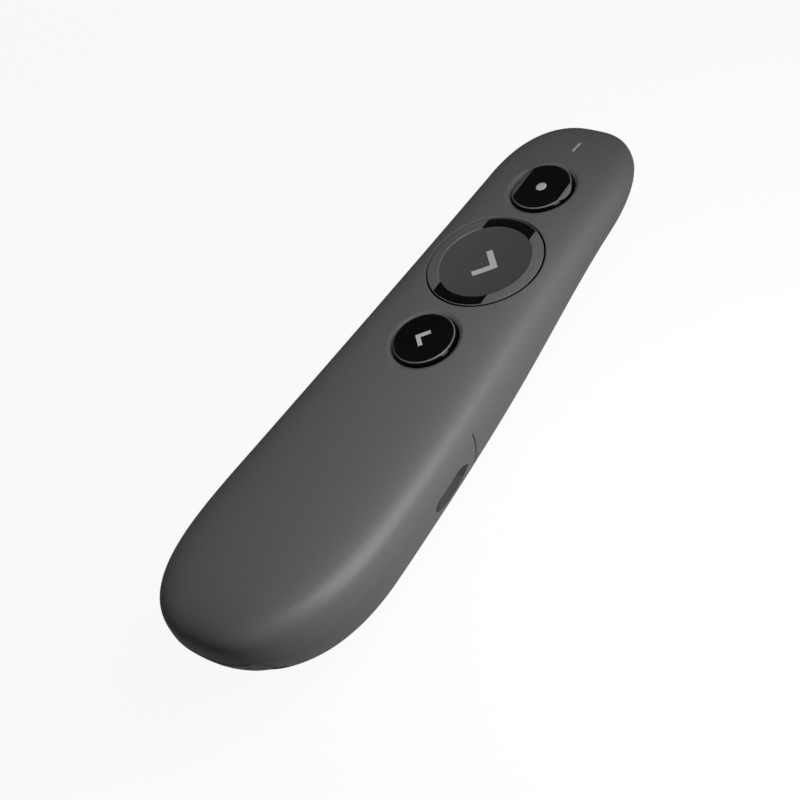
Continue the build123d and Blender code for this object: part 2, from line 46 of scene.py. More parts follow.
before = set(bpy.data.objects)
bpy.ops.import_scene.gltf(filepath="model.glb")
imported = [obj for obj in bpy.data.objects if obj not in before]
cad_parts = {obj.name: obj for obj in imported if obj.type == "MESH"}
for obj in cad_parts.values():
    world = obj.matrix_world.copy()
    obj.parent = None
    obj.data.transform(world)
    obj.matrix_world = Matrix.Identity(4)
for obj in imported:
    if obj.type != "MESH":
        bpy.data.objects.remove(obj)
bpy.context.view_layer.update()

# All sizes are in metres. Y runs from the tail to the nose, Z up out of the buttons.
MM = 0.001

# Shape of the moulded housing: powers of its closing ends, the crown's height line as a cubic in
# the share of the half length, and the control points of its cross-sections, from the rim to the
# middle, as shares of the half width and of the height.
TAIL_POWERS = (2.49, 3.56)
NOSE_POWERS = (2.4, 4.3)
BELLY_POWER = 2.0
BELLY_FULLNESS = 1.39
CROWN_LINE = (5.29 * MM, -0.69 * MM, 1.81 * MM, -3.585 * MM)
CROWN_POLES = ((1, 0), (1, 1.466), (0.7, 0.836))
BELLY_POLES = ((1, 0), (1, 0.272), (0.566, 1.482))

# Mesh density
CROWN_ROWS = 150
CROWN_COLUMNS = 72
BELLY_ROWS = 90
BELLY_COLUMNS = 72
SECTION_SPAN = 45 * MM      # about the length of a cross-section of the crown
SHARP_ANGLE = math.radians(38)
WELD_DISTANCE = 0.002 * MM


# ---- sizes and colours a user would change ----
def srgb_to_linear(hex_code):
    """Turns "#rrggbb" into the three linear values that shaders take."""
    values = [int(hex_code[k : k + 2], 16) / 255 for k in (1, 3, 5)]
    return [v / 12.92 if v <= 0.04045 else ((v + 0.055) / 1.055) ** 2.4 for v in values]


def length(name, description, millimetres):
    return FloatProperty(
        name=name, description=description, default=millimetres * MM, unit="LENGTH", precision=5
    )


def colour(name, description, hex_code):
    rgb = srgb_to_linear(hex_code)
    return FloatVectorProperty(
        name=name, description=description, default=rgb, size=3, min=0, max=1, subtype="COLOR"
    )


class HousingSizes(bpy.types.PropertyGroup):
    half_length: length("Half length", "From the middle of the body to either tip", 68.44)
    tail_half_width: length("Tail half width", "Half the width at the tail", 19.54)
    nose_half_width: length("Nose half width", "Half the width at the nose", 15.24)
    tail_round: length("Tail round", "Length over which the tail closes in plan", 32.2)
    nose_round: length("Nose round", "Length over which the nose closes in plan", 20.3)
    parting_height: length("Parting height", "Parting line above the rest face", 21.0)
    bend_start: length("Bend start", "Behind this the parting line rises to the tail", -34.3)
    bend_radius: length("Bend radius", "Radius of that rise", 271.0)
    belly_nose: length("Belly at nose", "Depth of the belly under the nose", 10.64)
    belly_tail: length("Belly at tail", "Depth of the belly round the cells", 21.37)
    swell_place: length("Swell place", "Where the thin nose swells into the belly", 30.0)
    swell_length: length("Swell length", "How gently it swells", 11.73)
    wall: length("Wall", "Wall thickness of the mouldings", 1.8)
    door_front: length("Door front", "Front edge of the battery door", -8.7)
    door_slit: length("Door slit", "Gap ahead of the battery door", 0.3)
    scoop_place: length("Scoop", "Middle of the finger scoops", -17.1)
    scoop_half: length("Scoop half length", "Half the length of a finger scoop", 6.2)
    scoop_top: length("Scoop top", "Upper edge of a scoop from the parting line", -3.45)
    scoop_face: length("Scoop face", "How far from the middle a scoop's face starts", 16.9)
    grip_half_width: length("Grip half width", "Half the width of the receiver's grip", 9.9)


class ButtonSizes(bpy.types.PropertyGroup):
    laser_place: length("Pointer button", "Centre of the pointer button", 47.6)
    next_place: length("Forward button", "Centre of the forward button", 26.2)
    back_place: length("Back button", "Centre of the back button", 4.6)
    small_well: length("Small well", "Radius of the wells of the small buttons", 6.7)
    small_cap: length("Small cap", "Radius of the small caps", 6.5)
    small_rise: length("Small rise", "How proud the small caps stand", 0.5)
    next_well: length("Forward well", "Radius of the well of the forward button", 12.15)
    next_cap: length("Forward cap", "Radius of the forward button", 11.8)
    next_dish: length("Dish", "Radius of the forward button's dish", 9.5)
    next_depth: length("Dish depth", "Depth of the dish at its middle", 1.1)
    next_sphere: length("Dish sphere", "Radius of curvature of the dish", 56.0)
    accent_half_width: length("Accent half width", "Half the width of the gloss accents", 5.7)
    accent_depth: length("Accent depth", "Thickness of the gloss accents", 0.6)
    accent_margin: length("Accent margin", "From an accent to the rim of the forward button", 0.14)


class FinishColours(bpy.types.PropertyGroup):
    shell: colour("Shell", "Graphite moulding compound", "#585858")
    dish: colour("Dish", "Smoother graphite of the dish", "#434343")
    # The finger grip's darker tone is painted shade of the recessed scoops.
    grip: colour("Finger grip", "Ribbed, rougher graphite of the scoops", "#424242")
    gloss: colour("Gloss", "Piano black caps and accents", "#030304")
    symbol: colour("Symbol", "Pale symbols", "#a8a8a8")
    floor: colour("Floor", "Pale studio floor", "#f4f4f4")


# ---- housing form as formulas ----
def section(poles, t):
    """Shares of half width and height along a mirrored quintic section, for t from 0 to 1."""
    both = list(poles) + [(-across, up) for across, up in reversed(poles)]
    weights = [math.comb(5, k) * t**k * (1 - t) ** (5 - k) for k in range(6)]
    across = sum(w * p[0] for w, p in zip(weights, both))
    up = sum(w * p[1] for w, p in zip(weights, both))
    return across, up


class Form:
    """The housing's surfaces. An inset is a distance inwards from the outer skin."""

    def __init__(self):
        self.sizes = bpy.context.scene.clicker_housing
        self.table_t = np.linspace(0, 1, 4001)
        self.table_across = section(CROWN_POLES, self.table_t)[0]

    def tip(self, inset):
        return self.sizes.half_length - inset

    def parting(self, y):
        """Height of the parting line."""
        radius = self.sizes.bend_radius
        run = np.minimum(0.0, y - self.sizes.bend_start)
        return self.sizes.parting_height + radius - np.sqrt(radius**2 - run**2)

    def closing(self, y, inset):
        """0 along the body, rising to 1 at either tip."""
        s = self.sizes
        tail = (s.tail_round - s.half_length - y) / (s.tail_round - inset)
        nose = (y - s.half_length + s.nose_round) / (s.nose_round - inset)
        return np.clip(np.maximum(tail, nose), 0, 1)

    def half_width(self, y, inset):
        s = self.sizes
        tail_y = s.tail_round - s.half_length
        nose_y = s.half_length - s.nose_round
        share = np.clip((y - tail_y) / (nose_y - tail_y), 0, 1)
        blend = 0.5 * share + 0.5 * share**2 * (3 - 2 * share)  # half straight, half eased
        width = s.tail_half_width + (s.nose_half_width - s.tail_half_width) * blend - inset
        power = np.where(y > 0, NOSE_POWERS[0], TAIL_POWERS[0])
        return width * (1 - self.closing(y, inset) ** power) ** (1 / power)

    def crown(self, y, inset):
        share = y / self.sizes.half_length
        rise = self.parting(y) - self.sizes.parting_height
        height = sum(c * share**k for k, c in enumerate(CROWN_LINE)) - rise - inset
        power = np.where(y > 0, NOSE_POWERS[1], TAIL_POWERS[1])
        return height * (1 - self.closing(y, inset) ** power) ** (1 / power)

    def belly(self, y, inset):
        s = self.sizes
        rise = self.parting(y) - s.parting_height
        swell = (s.belly_tail - s.belly_nose) / (1 + np.exp((y - s.swell_place) / s.swell_length))
        depth = s.belly_nose + swell + rise - inset
        return depth * (1 - self.closing(y, inset) ** BELLY_POWER) ** (1 / BELLY_FULLNESS)

    def crown_point(self, t, y, inset=0.0, start=0.0):
        """Points on the crown. Its rim is lifted off the parting line by start."""
        t, y = np.broadcast_arrays(t, y)
        across, up = section(CROWN_POLES, t)
        height = np.maximum(self.crown(y, inset) - start, 0)
        z = self.parting(y) + start + up * height
        return np.stack([across * self.half_width(y, inset), y, z], axis=-1)

    def belly_point(self, t, y, inset=0.0, start=0.0):
        """Points on the belly, flattened where it rests. Its rim hangs start below the parting."""
        t, y = np.broadcast_arrays(t, y)
        across, up = section(BELLY_POLES, t)
        depth = np.maximum(self.belly(y, inset) - start, 0)
        z = self.parting(y) - start - up * depth - inset
        land_blend = 0.25 * MM
        z = inset + (z + np.sqrt(z**2 + land_blend**2)) / 2
        return np.stack([across * self.half_width(y, inset), y, z], axis=-1)

    def crown_rows(self, inset):
        """Where the crown's cross-sections stand along Y, closer together at the tips."""
        return -self.tip(inset) * np.cos(np.pi * np.arange(CROWN_ROWS + 1) / CROWN_ROWS)

    def crown_share(self, x, y, inset=0.0):
        """The t at which the crown's section passes over x."""
        across = x / self.half_width(y, inset)
        return np.interp(-across, -self.table_across, self.table_t)

    def crown_height(self, x, y, inset=0.0, start=0.0):
        """Height of the crown's surface over a point in plan."""
        return self.crown_point(self.crown_share(x, y, inset), y, inset, start)[..., 2]


# ---- mesh building ----
class Skin:
    """Points and faces of a piece while it is being built."""

    def __init__(self):
        self.points = []
        self.faces = []
        self.finishes = []

    def add(self, points):
        """Adds points and returns their indices, in the same shape."""
        points = np.asarray(points, float)
        start = len(self.points)
        self.points.extend(points.reshape(-1, 3))
        return np.arange(start, len(self.points)).reshape(points.shape[:-1])

    def face(self, corners, finish=0):
        self.faces.append([int(c) for c in corners])
        self.finishes.append(finish)

    def strip(self, first, second, closed=False, finish=0):
        """Quads between two lines with as many points."""
        count = len(first)
        for k in range(count if closed else count - 1):
            n = (k + 1) % count
            self.face((first[k], first[n], second[n], second[k]), finish)

    def grid(self, ids):
        for first, second in zip(ids, ids[1:]):
            self.strip(first, second)

    def fan(self, line, tip, finish=0):
        """Triangles between a closed line and a point."""
        pole = self.add([tip])[0]
        for k, corner in enumerate(line):
            self.face((corner, line[(k + 1) % len(line)], pole), finish)

    def object(self, name):
        """Welds the points into a closed mesh with outward normals and crisp sharp edges."""
        mesh = bpy.data.meshes.new(name)
        mesh.from_pydata([tuple(p) for p in self.points], [], self.faces)
        mesh.polygons.foreach_set("material_index", self.finishes)
        tidy_mesh(mesh)
        piece = bpy.data.objects.new(name, mesh)
        bpy.context.scene.collection.objects.link(piece)
        return piece


def tidy_mesh(mesh):
    bm = bmesh.new()
    bm.from_mesh(mesh)
    bmesh.ops.remove_doubles(bm, verts=bm.verts, dist=WELD_DISTANCE)
    bmesh.ops.dissolve_degenerate(bm, dist=WELD_DISTANCE, edges=bm.edges)
    loose = [v for v in bm.verts if not v.link_faces]
    bmesh.ops.delete(bm, geom=loose, context="VERTS")
    bmesh.ops.recalc_face_normals(bm, faces=bm.faces)
    bm.to_mesh(mesh)
    bm.free()
    mesh.polygons.foreach_set("use_smooth", [True] * len(mesh.polygons))
    mesh.set_sharp_from_angle(angle=SHARP_ANGLE)


def carve(piece, cutter, operation="DIFFERENCE"):
    """Cuts one object out of another, or keeps only what both hold, then discards the cutter."""
    cut = piece.modifiers.new("Carve", "BOOLEAN")
    cut.operation = operation
    cut.solver = "EXACT"
    cut.material_mode = "TRANSFER"
    cut.object = cutter
    depsgraph = bpy.context.evaluated_depsgraph_get()
    carved = bpy.data.meshes.new_from_object(piece.evaluated_get(depsgraph))
    piece.modifiers.clear()
    piece.data = carved
    tidy_mesh(piece.data)
    bpy.data.objects.remove(cutter)


def place(piece, body, finishes, replaces):
    """Gives a piece its named finishes and its body, and hides the CAD nodes that it stands for."""
    indices = [face.material_index for face in piece.data.polygons]
    piece.data.materials.clear()
    for name in finishes:
        piece.data.materials.append(finish_of(name))
    piece.data.polygons.foreach_set("material_index", indices)
    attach(piece, body)
    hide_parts(*replaces)


def prism(name, outline, low, high, axis):
    """Closed prism of an outline, along the axis 0, 1 or 2. The outline leaves that axis out."""
    skin = Skin()
    ends = [skin.add(np.insert(np.array(outline), axis, at, axis=1)) for at in (low, high)]
    skin.strip(ends[0], ends[1], closed=True)
    for end in ends:
        skin.face(end)
    return skin.object(name)


def circle(centre, radius, count=64):
    angle = 2 * np.pi * np.arange(count) / count
    x, y = centre[0] + radius * np.cos(angle), centre[1] + radius * np.sin(angle)
    return np.stack([x, y], axis=-1)


def rectangle(low, high):
    return [(low[0], low[1]), (high[0], low[1]), (high[0], high[1]), (low[0], high[1])]


def in_mm(pairs, across=0.0, up=0.0):
    """Pairs given in millimetres, as metres from an offset in metres."""
    return [(across + a * MM, up + b * MM) for a, b in pairs]


# ---- top housing ----
class Well:
    """A round or slotted opening in the crown, with a rounded mouth given as radius and drop."""

    def __init__(self, y, mouth, count, half_slot=0.0):
        self.y = y
        self.mouth = mouth
        self.count = count
        self.half_slot = half_slot

    @property
    def outer(self):
        return self.mouth[0][0]

    @property
    def inner(self):
        return self.mouth[-1][0]

    def loop(self, radius):
        angle = 2 * np.pi * (np.arange(self.count) + 0.5) / self.count
        x = radius * np.cos(angle)
        y = self.y + radius * np.sin(angle) + self.half_slot * np.sign(np.sin(angle))
        return x, y

    def distance(self, x, y):
        along = np.clip(y - self.y, -self.half_slot, self.half_slot)
        return np.hypot(x, y - self.y - along)


def wells():
    b = bpy.context.scene.clicker_buttons
    ring = [(0.95, 0), (0.45, 0), (0.24, 0), (0.13, 0.02), (0.04, 0.08), (0, 0.2), (0, 1.0)]
    flare = [(1.15, 0), (1.0, 0), (0.88, 0.015), (0.75, 0.06), (0.55, 0.17), (0.35, 0.31)]
    flare += [(0.15, 0.44), (0.05, 0.53), (0, 0.65), (0, 1.2)]
    slot = [(0.6, 0), (0.25, 0), (0.1, 0.015), (0.03, 0.06), (0, 0.15), (0, 0.8)]
    slot_place, slot_radius, slot_half = 61.0 * MM, 0.3 * MM, 1.3 * MM
    return [
        Well(b.laser_place, in_mm(flare, b.small_well), 96),
        Well(b.next_place, in_mm(ring, b.next_well), 144),
        Well(b.back_place, in_mm(flare, b.small_well), 96),
        Well(slot_place, in_mm(slot, slot_radius), 32, slot_half),
    ]


def pierced_crown(skin, form, inset, start, openings):
    """Crown sheet as a grid, with triangles round its openings. openings holds wells and radii."""
    y = form.crown_rows(inset)
    t = np.linspace(0, 1, CROWN_COLUMNS + 1)
    ids = skin.add(form.crown_point(t[None, :], y[:, None], inset, start))

    pad = 1.5 * MM      # from the openings to the edge of the triangles
    lows, highs, shares = [], [], []
    for well, radius in openings:
        x_loop, y_loop = well.loop(radius)
        lows.append(y_loop.min() - pad)
        highs.append(y_loop.max() + pad)
        shares.append(form.crown_share(x_loop, y_loop, inset).min() - pad / SECTION_SPAN)
    row0, row1 = int(np.searchsorted(y, min(lows))) - 1, int(np.searchsorted(y, max(highs)))
    col0 = int(min(shares) * CROWN_COLUMNS)
    col1 = CROWN_COLUMNS - col0

    coords, keys, edges = [], [], []

    def put(share, along, key):
        coords.append(Vector((share * SECTION_SPAN / MM, along / MM)))
        keys.append(int(key))

    border = [(row0, c) for c in range(col0, col1)] + [(r, col1) for r in range(row0, row1)]
    border += [(row1, c) for c in range(col1, col0, -1)]
    border += [(r, col0) for r in range(row1, row0, -1)]
    for r, c in border:
        put(t[c], y[r], ids[r, c])
    edges += [(k, (k + 1) % len(border)) for k in range(len(border))]

    spacing = 0.6 * MM      # from an opening to the nearest grid points
    for r in range(row0 + 1, row1):
        for c in range(col0 + 1, col1):
            x = section(CROWN_POLES, t[c])[0] * form.half_width(y[r], inset)
            if all(well.distance(x, y[r]) > radius + spacing for well, radius in openings):
                put(t[c], y[r], ids[r, c])

    loops = []
    for well, radius in openings:
        x_loop, y_loop = well.loop(radius)
        share = form.crown_share(x_loop, y_loop, inset)
        loop = skin.add(form.crown_point(share, y_loop, inset, start))
        first = len(coords)
        for values in zip(share, y_loop, loop):
            put(*values)
        edges += [(first + k, first + (k + 1) % well.count) for k in range(well.count)]
        loops.append(loop)

    keep_all, tolerance, slack = 0, 1e-6, 0.02 * MM
    made, _, triangles, origins, _, _ = delaunay_2d_cdt(coords, edges, [], keep_all, tolerance)
    for triangle in triangles:
        centre = sum((made[k] for k in triangle), Vector((0, 0))) / 3
        share, along = centre.x * MM / SECTION_SPAN, centre.y * MM
        x = section(CROWN_POLES, share)[0] * form.half_width(along, inset)
        if all(well.distance(x, along) > radius - slack for well, radius in openings):
            skin.face([keys[origins[k][0]] for k in triangle])

    for r in range(CROWN_ROWS):
        for c in range(CROWN_COLUMNS):
            if not (row0 <= r < row1 and col0 <= c < col1):
                skin.face((ids[r, c], ids[r, c + 1], ids[r + 1, c + 1], ids[r + 1, c]))
    return ids, loops


def round_the_rim(grid):
    """The two long edges of a crown grid as one line from nose to tail and back."""
    return np.concatenate([grid[::-1, 0], grid[1:, -1]])


def top_housing_mesh(form):
    skin = Skin()
    chamfer, openings = 0.015 * MM, wells()
    mouth_radii = [(w, w.outer) for w in openings]
    floor_radii = [(w, w.inner) for w in openings]
    outer, mouths = pierced_crown(skin, form, 0.0, chamfer, mouth_radii)
    inner, floors = pierced_crown(skin, form, form.sizes.wall, 0.0, floor_radii)

    y = form.crown_rows(chamfer)
    rims = skin.add(form.crown_point(np.array([[0.0, 1.0]]), y[:, None], chamfer))
    skin.strip(round_the_rim(outer), round_the_rim(rims))
    skin.strip(round_the_rim(rims), round_the_rim(inner))

    for well, mouth, floor in zip(openings, mouths, floors):
        previous = mouth
        for radius, drop in well.mouth[1:]:
            x, y = well.loop(radius)
            z = form.crown_height(x, y, 0.0, chamfer) - drop
            ring = skin.add(np.stack([x, y, z], axis=-1))
            skin.strip(previous, ring, closed=True)
            previous = ring
        skin.strip(previous, floor, closed=True)
    return skin


# ---- belly shells ----
def belly_shell(form, open_y, side, gap, chamfer, wall, tail_chamfer=0.0):
    """Half-open shell of the belly from the slit at open_y to the tip on that side (+1 nose).

    tail_chamfer is what its rim's chamfer gains round the tail, where the seam shows as a line.
    """
    t = np.linspace(0, 1, BELLY_COLUMNS + 1)
    along = np.sin(np.pi / 2 * np.arange(BELLY_ROWS + 1) / BELLY_ROWS)
    gain_start, gain_length = -44 * MM, 10 * MM
    # Lines of the edge: a fixed inset, then the shares of the chamfer that it lies in and down
    edge = ((0.0, 0.0, 1.0), (0.0, 0.3, 0.3), (0.0, 1.0, 0.0), (wall, 0.0, 0.0))
    skin = Skin()
    line = None
    for k, (base, deeper, lower) in enumerate(edge):
        inset, start = base + deeper * chamfer, gap + lower * chamfer
        first = open_y + side * lower * chamfer
        y = (first + (side * form.tip(inset) - first) * along)[:, None]
        gain = tail_chamfer * np.clip((gain_start - y) / gain_length, 0, 1)
        points = form.belly_point(t[None, :], y, inset + deeper * gain, start + lower * gain)
        if k in (0, len(edge) - 1):
            ids = skin.add(points)
            skin.grid(ids)
            border = np.concatenate([ids[::-1, 0], ids[0, 1:-1], ids[:, -1]])
        else:
            border = skin.add(np.concatenate([points[::-1, 0], points[0, 1:-1], points[:, -1]]))
        if line is not None:
            skin.strip(line, border)
        line = border
    return skin


def scoop_cutter(form, side, inset, face_x, rib_depth):
    """Leaning cylinder in a rounded outline, which bites a finger recess into the door's flank.

    inset is how far its outline lies inside the scoop's edge, face_x where its upper end cuts to.
    """
    s = form.sizes
    radius, lean, yaw = 22 * MM, math.radians(8), math.radians(2.9)
    rib_pitch, half_chord, outside = 0.6 * MM, 9 * MM, 20 * MM
    rim_points, corner_points = 400, 13
    half, top = s.scoop_half - inset, s.parting_height + s.scoop_top - inset
    reach = half_chord / radius
    angle = np.linspace(math.pi - reach, math.pi + reach, rim_points)
    wave = np.cos(angle * radius / rib_pitch * 2 * np.pi)
    rim = radius - rib_depth * np.clip(wave, 0, 1) ** 2
    rim = np.stack([side * (radius + rim * np.cos(angle)), rim * np.sin(angle)], -1)
    back = [(side * outside, rim[-1, 1]), (side * outside, rim[0, 1])]
    bite = prism("scoop_cutter", np.concatenate([rim, back]), -12 * MM, 9 * MM, 2)
    turn = Matrix.Rotation(side * yaw, 4, "Z") @ Matrix.Rotation(side * lean, 4, "Y")
    bite.data.transform(Matrix.Translation((side * face_x, s.scoop_place, top)) @ turn)

    low = s.parting_height - 12 * MM
    outline = [(s.scoop_place - half, low), (s.scoop_place + half, low)]
    for end, corner in ((1, 4.8 * MM), (-1, 1.5 * MM)):
        centre = np.array([s.scoop_place + end * (half - corner), top - corner])
        turns = np.linspace(0, np.pi / 2, corner_points)
        arc = [centre + corner * np.array([end * math.cos(a), math.sin(a)]) for a in turns]
        outline += arc if end > 0 else arc[::-1]
    near, far = sorted((side * 8 * MM, side * 30 * MM))
    carve(bite, prism("scoop_outline", outline, near, far, 0), "INTERSECT")
    return bite


def relief_cutter(form):
    """Leaning faces by which the door falls back round the grip."""
    lean, parting = 0.6, form.sizes.parting_height
    half = [(0, -67.6), (4, -67.2), (6, -66.7), (8, -65.95), (9.5, -64.98), (13.6, -62.65)]
    half += [(13.6, -90)]
    outline = in_mm(half) + in_mm([(-x, y) for x, y in half[:0:-1]])
    low, high = parting - 7.5 * MM, parting + 4 * MM
    relief = prism("relief", outline, low, high, 2)
    shear = ((1, 0, 0, 0), (0, 1, -lean, lean * parting), (0, 0, 1, 0), (0, 0, 0, 1))
    relief.data.transform(Matrix(shear))
    return relief


def belly_y(form, x, z):
    """Where the tail's end of the belly passes over x at a height z, by bisection."""
    steps, middle = 40, 0.05 * MM
    t = np.linspace(0, 0.5, 801)
    across, up = section(BELLY_POLES, t)
    low = np.full(np.shape(x), -form.tip(0.0))
    high = np.full(np.shape(x), -40 * MM)
    for _ in range(steps):
        y = (low + high) / 2
        share = np.interp((form.parting(y) - z) / form.belly(y, 0.0), up, across)
        outside = share * form.half_width(y, 0.0) > np.maximum(np.abs(x), middle)
        high, low = np.where(outside, y, high), np.where(outside, low, y)
    return y


def grip_mesh(form):
    """Visible end of the receiver: a rounded block whose rear face carries on the belly's form."""
    s = form.sizes
    half, bottom, inner_end = s.grip_half_width, s.parting_height - 4.0 * MM, -62 * MM
    corner = 0.35 * MM
    # How far its top, and the form that its rear face follows, keep under the parting line
    seam_gap, form_gap = 0.12 * MM, 0.3 * MM
    ease = corner * (1 - np.cos(np.linspace(0, np.pi / 2, 7)))
    x = np.concatenate([-half + ease, np.linspace(-half, half, 41)[2:-2], half - ease[::-1]])
    height = s.parting_height + 2.0 * MM - bottom
    v = np.concatenate([ease, np.linspace(0, height, 21)[2:-2], height - ease[::-1]]) / height
    rim = belly_y(form, x, np.full(len(x), s.parting_height + 1.0 * MM))
    top = form.parting(rim) - seam_gap
    x_grid, v_grid = np.meshgrid(x, v)
    z_grid = bottom + v_grid * (top - bottom)[None, :]
    from_edge = np.minimum(half - np.abs(x_grid), np.minimum(v_grid, 1 - v_grid) * height)
    inset = np.maximum(corner - from_edge, 0)
    y_grid = belly_y(form, x_grid, np.minimum(z_grid, form.parting(rim)[None, :] - form_gap))
    y_grid += corner - np.sqrt(np.maximum(corner**2 - inset**2, 0))
    skin = Skin()
    face = skin.add(np.stack([x_grid, y_grid, z_grid], axis=-1))
    skin.grid(face)
    border = np.concatenate([face[0, :-1], face[:-1, -1], face[-1, :0:-1], face[:0:-1, 0]])
    points = np.array(skin.points)[border]
    points[:, 1] = inner_end
    rear = skin.add(points)
    skin.strip(border, rear, closed=True)
    skin.face(rear)
    return skin


# ---- buttons ----
def revolved(profile, centre_y, count, trim=()):
    """Closed skin of a profile of (radius, height) turned about an upright axis, pole to pole.

    trim holds the numbers of the profile's steps that take the second finish.
    """
    skin = Skin()
    rings = [
        skin.add(np.insert(circle((0, centre_y), radius, count), 2, z, axis=1))
        for radius, z in profile[1:-1]
    ]
    for k, (first, second) in enumerate(zip(rings, rings[1:]), start=1):
        skin.strip(first, second, closed=True, finish=int(k in trim))
    for ring, (_, z) in ((rings[0], profile[0]), (rings[-1], profile[-1])):
        skin.fan(ring, (0, centre_y, z))
    return skin


# The flange under the crown that keeps each button in its well
FLANGE_REACH = 1.0 * MM
FLANGE_HEIGHT = 0.8 * MM
# Steps of the profile below that make the narrow bevel round a small cap. The bevel takes the
# shell's lighter satin graphite rather than the cap's gloss black, so that the lamp draws a bright
# line on it: painted highlight.
BEVEL_HIGHLIGHT_STEPS = (7, 8)
# Depth and radius of curvature of the small caps' dished tops
CAP_SAG = 0.12 * MM
CAP_SPHERE = 110 * MM


def small_cap_profile(form, centre_y):
    """Shallow dished top, a narrow bevel, a steep shoulder, then the wall down to the flange."""
    b = bpy.context.scene.clicker_buttons
    top = float(form.crown_height(0.0, centre_y)) + b.small_rise
    edge, reach, clearance = b.small_cap, b.small_cap + FLANGE_REACH, 0.45 * MM
    rim = [(reach, centre_y), (0.0, centre_y - reach), (0.0, centre_y + reach)]
    lowest = min(float(form.crown_height(*point)) for point in rim)
    flange_top = lowest - form.sizes.wall - clearance
    dished = [(0, -0.12), (1.5, -0.112), (3.0, -0.083), (4.2, -0.042)]
    shoulder = [(-0.72, -0.006), (-0.62, 0), (-0.56, -0.012), (-0.50, -0.045), (-0.34, -0.15)]
    shoulder += [(-0.28, -0.2), (-0.22, -0.28), (-0.06, -0.58), (-0.02, -0.68), (0, -0.8)]
    profile = in_mm(dished, 0.0, top) + in_mm(shoulder, edge, top)
    profile += [(edge, flange_top), (reach, flange_top)]
    profile += [(reach, flange_top - FLANGE_HEIGHT), (0, flange_top - FLANGE_HEIGHT)]
    return profile, top


def chevron_mesh(corner, arm, thickness, direction, height):
    """Right-angled chevron plate that follows the surface under it."""
    back, end = thickness * math.sqrt(2), thickness / math.sqrt(2)
    columns, proud, sunk = 24, 0.025 * MM, 0.12 * MM
    step = np.arange(-columns, columns + 1)
    share, sign = np.abs(step) / columns, np.where(step < 0, -1, 1)
    skin = Skin()
    lines = []
    for lift in (proud, -sunk):
        for start, run, rise in ((0.0, -arm, arm), (-back, back - arm - end, arm - end)):
            x = corner[0] + direction * (start + run * share)
            y = corner[1] + sign * rise * share
            lines.append(skin.add(np.stack([x, y, height(x, y) + lift], axis=-1)))
    outer, inner, outer_low, inner_low = lines
    pairs = ((outer, inner), (outer_low, inner_low), (outer, outer_low), (inner, inner_low))
    for first, second in pairs:
        skin.strip(first, second)
    for k in (0, -1):
        skin.face((outer[k], inner[k], inner_low[k], outer_low[k]))
    return skin


def dish_height(form):
    """Height of the forward button's dish over a point in plan."""
    b = bpy.context.scene.clicker_buttons
    floor = float(form.crown_height(0.0, b.next_place)) - b.next_depth
    centre_y, radius = b.next_place, b.next_sphere

    def height(x, y):
        return floor + radius - np.sqrt(radius**2 - x**2 - (y - centre_y) ** 2)

    return height


def sector_columns(half_width, radius, accents):
    """Angles of the forward button's columns at a radius, and which of them cross an accent."""
    turn = math.asin(half_width / max(radius, accents))
    bounds = [math.pi / 2 - turn, math.pi / 2 + turn, 3 * math.pi / 2 - turn]
    bounds += [3 * math.pi / 2 + turn, 5 * math.pi / 2 - turn]
    counts = (28, 52, 28, 52)
    sectors = [np.linspace(a, b, n + 1) for a, b, n in zip(bounds, bounds[1:], counts)]
    inlaid = [np.full(len(sector), k % 2 == 0) for k, sector in enumerate(sectors)]
    return np.concatenate(sectors), np.concatenate(inlaid)


def next_button_mesh(form):
    """Disc with a dish, a ring flush with the crown, and two pockets in it for the accents."""
    b = bpy.context.scene.clicker_buttons
    dish = dish_height(form)
    middle = float(dish(0.0, b.next_place))
    inside = float(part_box("next_button")[0][2])
    pocket_edge, flange_edge = b.next_cap - b.accent_margin, b.next_cap + FLANGE_REACH
    flange_top, underside, hollow = inside + FLANGE_HEIGHT, middle - 1.2 * MM, 9.0 * MM
    # Rings by radius and kind. A ring's value is its drop from the crown, a wall's is its height.
    rings = [(r * MM, "dish", 0.0) for r in (0.4, 2, 4, 6, 8, 9, 9.3)]
    rings += [(b.next_dish - 0.06 * MM, "dish", 0.0), (b.next_dish, "ring", 0.05 * MM)]
    rings += [(b.next_dish + 0.05 * MM, "ring", 0.0), (b.next_dish + 0.4 * MM, "ring", 0.0)]
    rings += [(10.7 * MM, "ring", 0.0), (pocket_edge, "ring", 0.0)]
    rings += [(pocket_edge, "rim", 0.0), (b.next_cap - 0.1 * MM, "rim", 0.0)]
    rings += [(b.next_cap - 0.03 * MM, "rim", 0.03 * MM), (b.next_cap, "rim", 0.12 * MM)]
    rings += [(b.next_cap, "wall", flange_top), (flange_edge, "wall", flange_top)]
    rings += [(flange_edge, "wall", inside)]
    rings += [(hollow, "under", inside), (hollow, "under", underside)]

    skin = Skin()
    previous = None
    for radius, kind, value in rings:
        angle, inlaid = sector_columns(b.accent_half_width, radius, b.next_dish)
        x, y = radius * np.cos(angle), b.next_place + radius * np.sin(angle)
        if kind == "dish":
            z = dish(x, y)
        elif kind in ("wall", "under"):
            z = np.full(len(x), value)
        else:
            z = form.crown_height(x, y) - value
            z -= b.accent_depth * (inlaid & (kind == "ring"))
        line = skin.add(np.stack([x, y, z], axis=-1))
        if previous is None:
            skin.fan(line, (0, b.next_place, middle), 1)
        else:
            # The side wall takes the gloss black as painted shade, darkening the gap round the
            # button.
            skin.strip(previous, line, closed=True, finish={"dish": 1, "wall": 2}.get(kind, 0))
        previous = line
    skin.fan(previous, (0, b.next_place, underside))
    return skin


